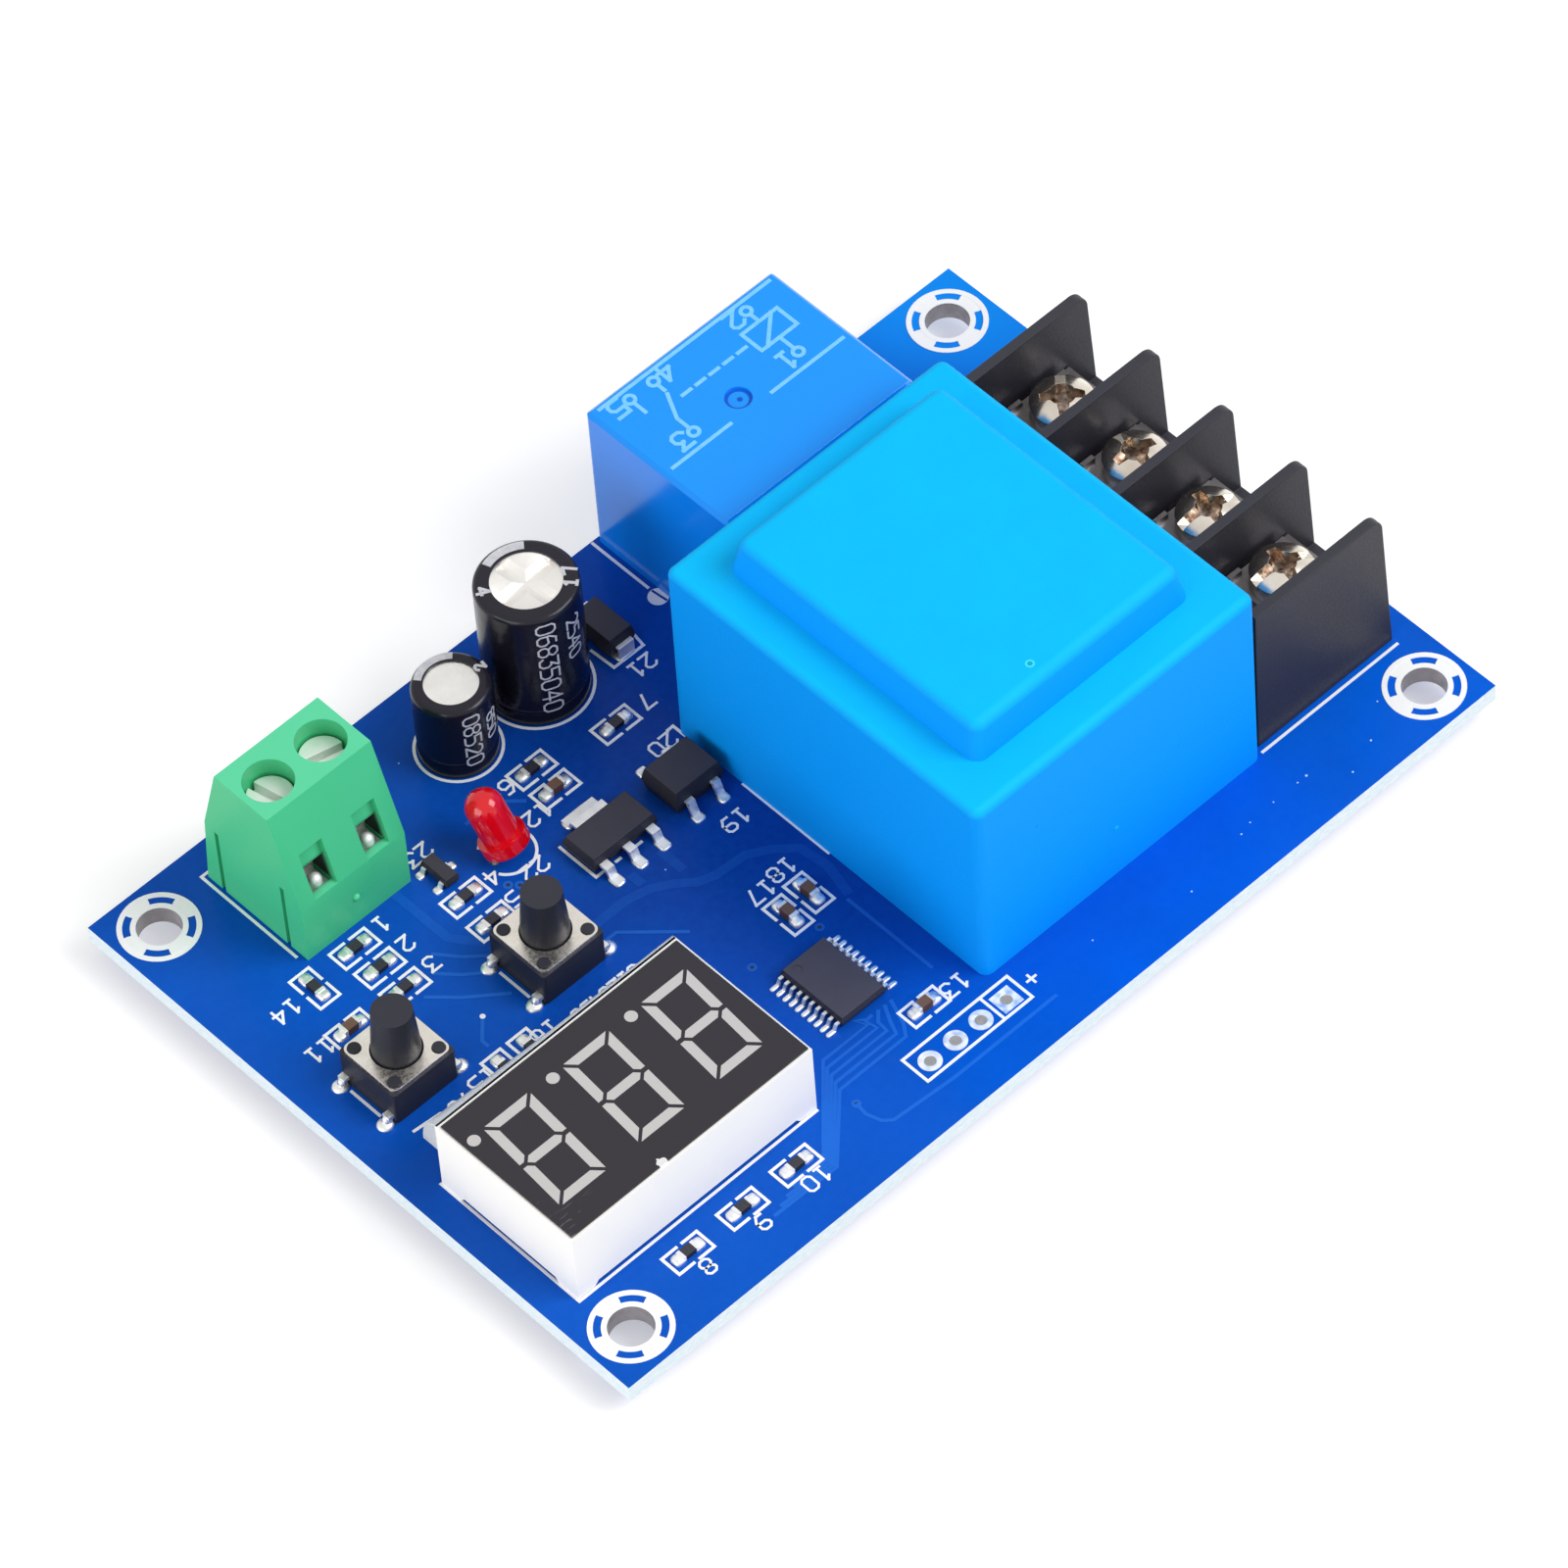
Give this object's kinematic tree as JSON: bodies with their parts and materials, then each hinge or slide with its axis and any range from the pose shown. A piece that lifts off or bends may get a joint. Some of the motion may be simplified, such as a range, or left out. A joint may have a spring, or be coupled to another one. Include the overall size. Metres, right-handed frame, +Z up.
{
  "type": "battery charge control module",
  "caption": "Bare circuit board module that switches a battery charger: potted transformer, relay, screw terminals, digit display and push buttons on a drilled board.",
  "frame": {"origin": "middle of the four mounting holes, on the board's underside", "axes": "+X along the board's long side towards the barrier terminal, +Y along its short side towards the relay, +Z up from the parts' side"},
  "size_m": [0.0872, 0.0578, 0.0256],
  "materials": {
    "board_laminate": "blue solder mask on glass laminate",
    "solder": "bright solder",
    "transformer_plastic": "matte azure moulding",
    "tinned_lead": "tinned",
    "relay_plastic": "satin blue moulding",
    "barrier_plastic": "charcoal moulding",
    "nickel_plate": "nickel plated",
    "nickel_screw": "nickel plated",
    "green_plastic": "satin green moulding",
    "display_plastic": "white moulding",
    "display_film": "satin black film",
    "segment_resin": "warm grey resin",
    "can_aluminium": "bright",
    "sleeve_film": "shrunk black film",
    "lamp_resin": "translucent red resin",
    "moulded_epoxy": "charcoal epoxy",
    "resistor_glaze": "black glaze",
    "capacitor_ceramic": "brown ceramic",
    "button_plastic": "satin black moulding",
    "button_cover_metal": "plated sheet"
  },
  "bodies": {
    "board": {"circuit_board": "board_laminate", "solder_joints": "solder", "transformer_case": "transformer_plastic", "transformer_pins": "tinned_lead", "relay_case": "relay_plastic", "relay_pins": "tinned_lead", "barrier_housing": "barrier_plastic", "barrier_contacts": "nickel_plate", "wire_terminal_housing": "green_plastic", "wire_terminal_contacts": "nickel_plate", "display_housing": "display_plastic", "display_face": "display_film", "display_segments": "segment_resin", "display_pins": "tinned_lead", "large_capacitor_can": "can_aluminium", "large_capacitor_sleeve": "sleeve_film", "large_capacitor_leads": "tinned_lead", "small_capacitor_can": "can_aluminium", "small_capacitor_sleeve": "sleeve_film", "small_capacitor_leads": "tinned_lead", "lamp_lens": "lamp_resin", "lamp_leads": "tinned_lead", "regulator_body": "moulded_epoxy", "regulator_leads": "tinned_lead", "bridge_body": "moulded_epoxy", "bridge_leads": "tinned_lead", "controller_body": "moulded_epoxy", "controller_leads": "tinned_lead", "transistor_body": "moulded_epoxy", "transistor_leads": "tinned_lead", "diode_body": "moulded_epoxy", "diode_leads": "tinned_lead", "chip_resistor_bodies": "resistor_glaze", "chip_resistor_ends": "tinned_lead", "chip_capacitor_bodies": "capacitor_ceramic", "chip_capacitor_ends": "tinned_lead", "button_1_base": "button_plastic", "button_1_cover": "button_cover_metal", "button_1_dome": "button_cover_metal", "button_1_terminals": "tinned_lead", "button_2_base": "button_plastic", "button_2_cover": "button_cover_metal", "button_2_dome": "button_cover_metal", "button_2_terminals": "tinned_lead"},
    "barrier_clamp_1": {"barrier_clamp_1": "nickel_plate"},
    "barrier_screw_1": {"barrier_screw_1": "nickel_screw"},
    "barrier_clamp_2": {"barrier_clamp_2": "nickel_plate"},
    "barrier_screw_2": {"barrier_screw_2": "nickel_screw"},
    "barrier_clamp_3": {"barrier_clamp_3": "nickel_plate"},
    "barrier_screw_3": {"barrier_screw_3": "nickel_screw"},
    "barrier_clamp_4": {"barrier_clamp_4": "nickel_plate"},
    "barrier_screw_4": {"barrier_screw_4": "nickel_screw"},
    "wire_leaf_1": {"wire_leaf_1": "nickel_plate"},
    "wire_screw_1": {"wire_screw_1": "nickel_screw"},
    "wire_leaf_2": {"wire_leaf_2": "nickel_plate"},
    "wire_screw_2": {"wire_screw_2": "nickel_screw"},
    "button_1": {"button_1_plunger": "button_plastic"},
    "button_2": {"button_2_plunger": "button_plastic"}
  },
  "joints": [
    {"name": "barrier_clamp_1_lift", "type": "slide", "parent": "board", "child": "barrier_clamp_1", "axis": [0, 0, 1], "range_m": [0, 0.003]},
    {"name": "barrier_screw_1_turn", "type": "hinge", "parent": "barrier_clamp_1", "child": "barrier_screw_1", "pos_m": [0.0344, -0.01618, 0.0116], "axis": [0, 0, 1], "range_deg": [0, 2160]},
    {"name": "barrier_clamp_2_lift", "type": "slide", "parent": "board", "child": "barrier_clamp_2", "axis": [0, 0, 1], "range_m": [0, 0.003]},
    {"name": "barrier_screw_2_turn", "type": "hinge", "parent": "barrier_clamp_2", "child": "barrier_screw_2", "pos_m": [0.0344, -0.00856, 0.0116], "axis": [0, 0, 1], "range_deg": [0, 2160]},
    {"name": "barrier_clamp_3_lift", "type": "slide", "parent": "board", "child": "barrier_clamp_3", "axis": [0, 0, 1], "range_m": [0, 0.003]},
    {"name": "barrier_screw_3_turn", "type": "hinge", "parent": "barrier_clamp_3", "child": "barrier_screw_3", "pos_m": [0.0344, -0.00094, 0.0116], "axis": [0, 0, 1], "range_deg": [0, 2160]},
    {"name": "barrier_clamp_4_lift", "type": "slide", "parent": "board", "child": "barrier_clamp_4", "axis": [0, 0, 1], "range_m": [0, 0.003]},
    {"name": "barrier_screw_4_turn", "type": "hinge", "parent": "barrier_clamp_4", "child": "barrier_screw_4", "pos_m": [0.0344, 0.00668, 0.0116], "axis": [0, 0, 1], "range_deg": [0, 2160]},
    {"name": "wire_leaf_1_lift", "type": "slide", "parent": "board", "child": "wire_leaf_1", "axis": [0, 0, 1], "range_m": [0, 0.0015]},
    {"name": "wire_screw_1_turn", "type": "hinge", "parent": "wire_leaf_1", "child": "wire_screw_1", "pos_m": [-0.03184, 0.02035, 0.0126], "axis": [0, 0, 1], "range_deg": [0, 1080]},
    {"name": "wire_leaf_2_lift", "type": "slide", "parent": "board", "child": "wire_leaf_2", "axis": [0, 0, 1], "range_m": [0, 0.0015]},
    {"name": "wire_screw_2_turn", "type": "hinge", "parent": "wire_leaf_2", "child": "wire_screw_2", "pos_m": [-0.02676, 0.02035, 0.0126], "axis": [0, 0, 1], "range_deg": [0, 1080]},
    {"name": "button_1_press", "type": "slide", "parent": "board", "child": "button_1", "axis": [0, 0, -1], "range_m": [0, 0.00025], "stiffness_N_per_m": 2000, "springref_m": -0.00025, "deforming": ["button_1_dome"]},
    {"name": "button_2_press", "type": "slide", "parent": "board", "child": "button_2", "axis": [0, 0, -1], "range_m": [0, 0.00025], "stiffness_N_per_m": 2000, "springref_m": -0.00025, "deforming": ["button_2_dome"]}
  ],
  "couplings": [
    {"joint": "barrier_screw_1_turn", "follows": "barrier_clamp_1_lift", "rad_per_m": 12566},
    {"joint": "barrier_screw_2_turn", "follows": "barrier_clamp_2_lift", "rad_per_m": 12566},
    {"joint": "barrier_screw_3_turn", "follows": "barrier_clamp_3_lift", "rad_per_m": 12566},
    {"joint": "barrier_screw_4_turn", "follows": "barrier_clamp_4_lift", "rad_per_m": 12566},
    {"joint": "wire_screw_1_turn", "follows": "wire_leaf_1_lift", "rad_per_m": 12566},
    {"joint": "wire_screw_2_turn", "follows": "wire_leaf_2_lift", "rad_per_m": 12566}
  ]
}
